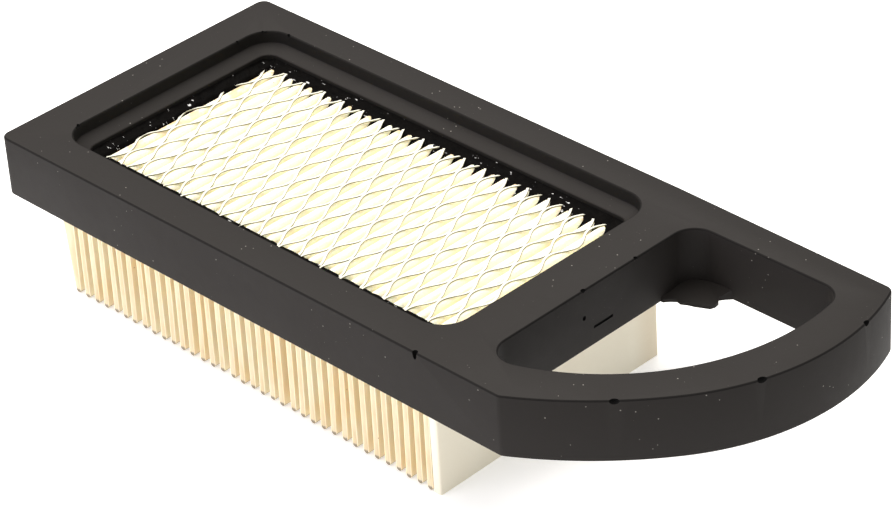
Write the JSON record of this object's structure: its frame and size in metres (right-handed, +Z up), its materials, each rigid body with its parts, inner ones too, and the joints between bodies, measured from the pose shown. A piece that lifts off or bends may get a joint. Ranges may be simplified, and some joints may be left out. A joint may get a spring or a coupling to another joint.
{
  "type": "air filter cartridge",
  "caption": "Flat panel air filter cartridge: pleated paper pack and wire screen in a soft black moulded frame with a curved pull loop at one end.",
  "frame": {"origin": "middle of the overall footprint, on the surface that the pleated pack stands on", "axes": "+X along the length from the plain end to the pull loop, +Y across the width towards the longer side of the loop, +Z up out of the window over the screen"},
  "size_m": [0.237, 0.098, 0.0494],
  "materials": {
    "moulded_frame": "soft satin moulded polyurethane skin",
    "filter_paper": "matt resin-treated filter paper",
    "screen_wire": "dull expanded sheet",
    "sealing_resin": "glossy, rough poured urethane",
    "edge_glue": "matt glued paper edge",
    "end_card": "matt stiff paper"
  },
  "bodies": {
    "root": {"frame_moulding": "moulded_frame", "pleated_paper": "filter_paper", "mesh_screen": "screen_wire", "sealing_bead_front": "sealing_resin", "sealing_bead_rear": "sealing_resin", "sealing_bead_plain_end": "sealing_resin", "sealing_bead_loop_end": "sealing_resin", "edge_seal_front": "edge_glue", "edge_seal_rear": "edge_glue", "end_panel_loop_end": "end_card"}
  },
  "joints": []
}
